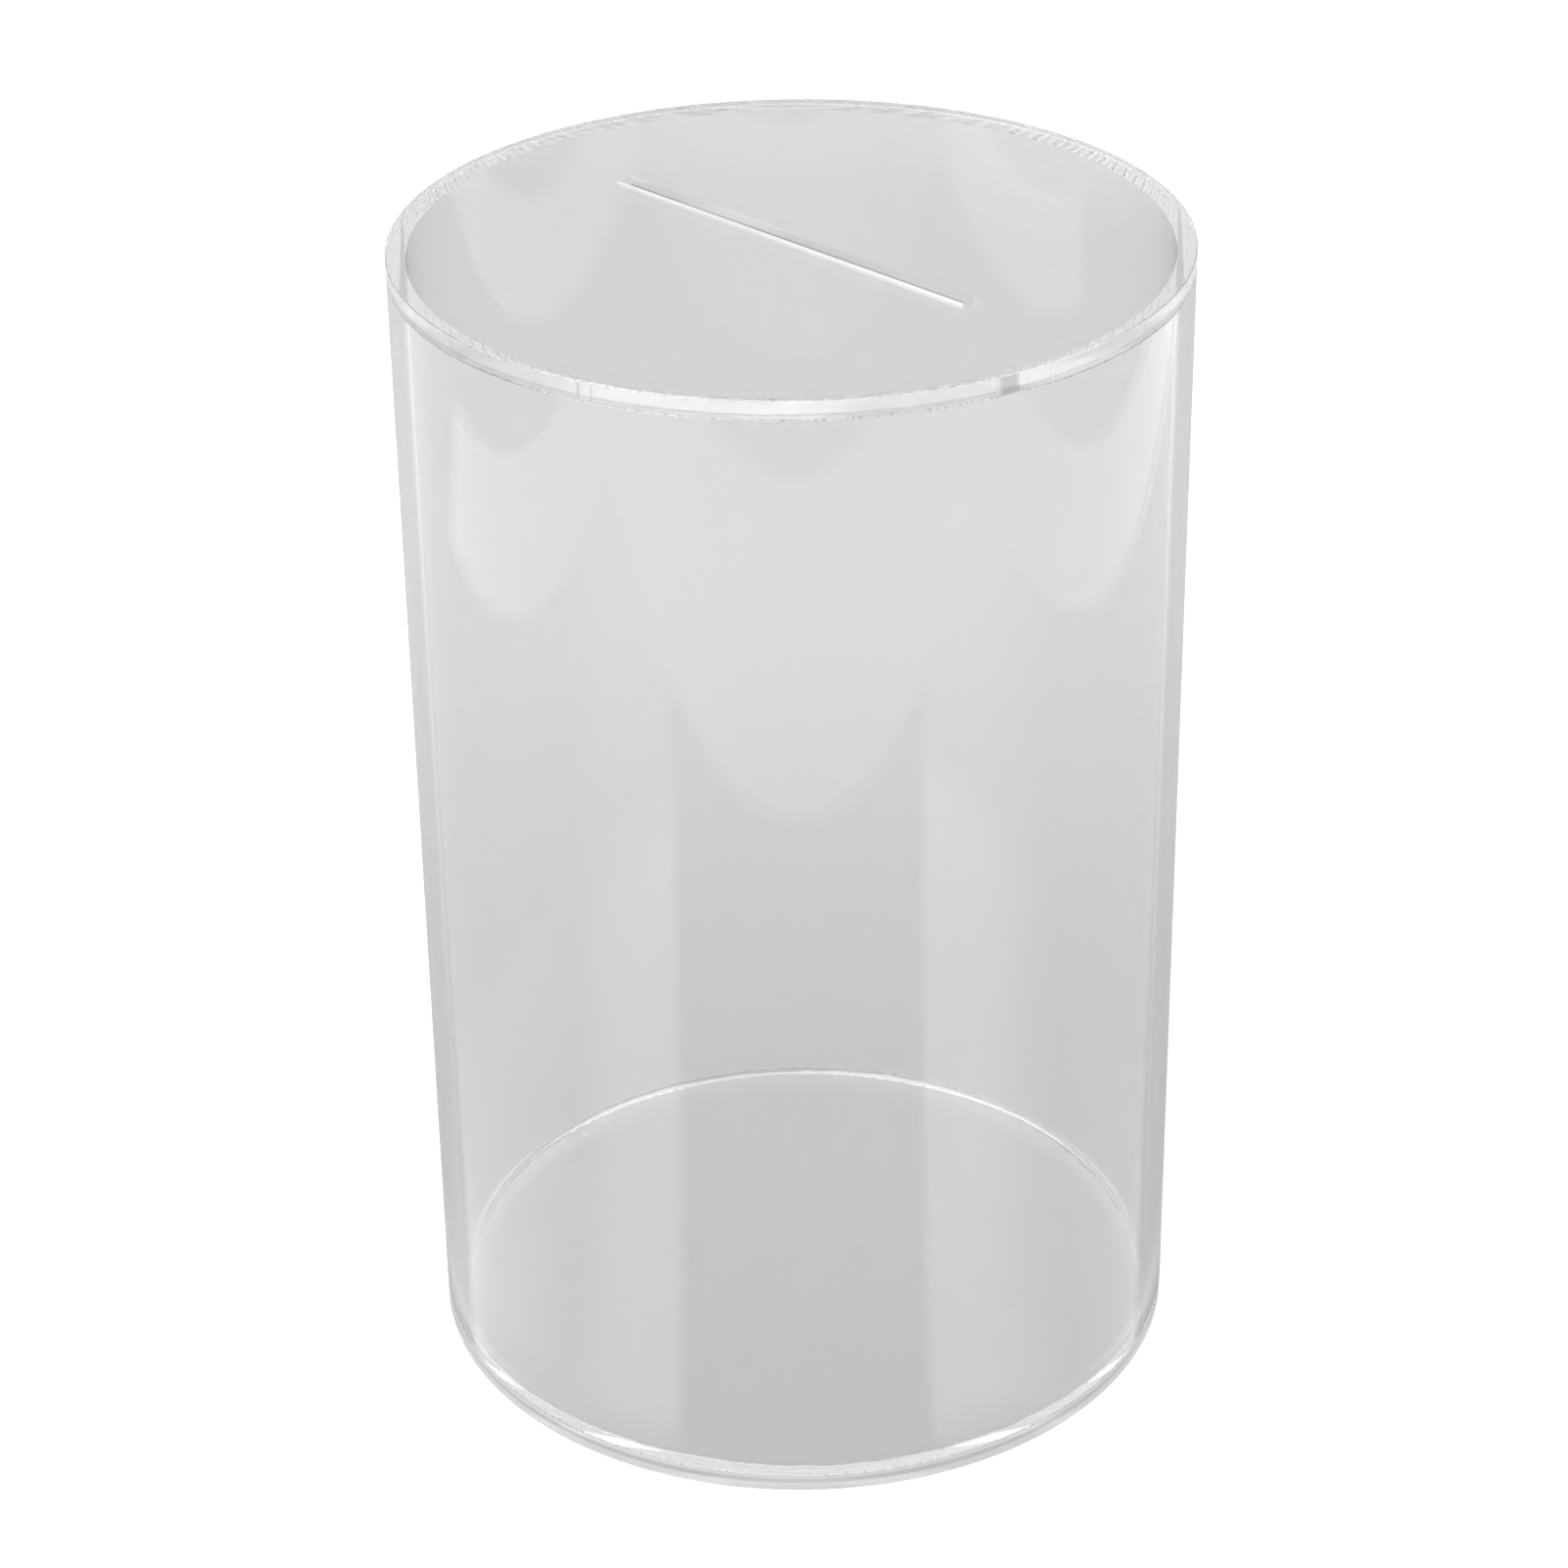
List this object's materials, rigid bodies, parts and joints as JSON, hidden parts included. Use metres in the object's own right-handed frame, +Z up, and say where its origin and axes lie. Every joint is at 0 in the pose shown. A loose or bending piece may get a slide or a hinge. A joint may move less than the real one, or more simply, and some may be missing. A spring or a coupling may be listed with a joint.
{
  "type": "ballot box",
  "caption": "Round clear ballot box: a tube standing on a flat base disc, closed by a lid disc with a long narrow letter slot.",
  "frame": {"origin": "centre of the base disc's underside, on the tube's axis", "axes": "+Z up along the tube's axis, +X along the letter slot"},
  "size_m": [0.2, 0.2, 0.31],
  "materials": {
    "clear_acrylic": "clear polished acrylic, faintly grey through its thickness, with laser-cut edges on the discs",
    "clear_cement": "clear hardened acrylic cement, bright and slightly broken"
  },
  "bodies": {
    "box": {"tube": "clear_acrylic", "base_disc": "clear_acrylic", "cement_bead": "clear_cement"},
    "lid": {"lid": "clear_acrylic"}
  },
  "joints": [
    {"name": "lid_lift", "type": "slide", "parent": "box", "child": "lid", "axis": [0, 0, 1], "range_m": [0, 0.1]}
  ]
}
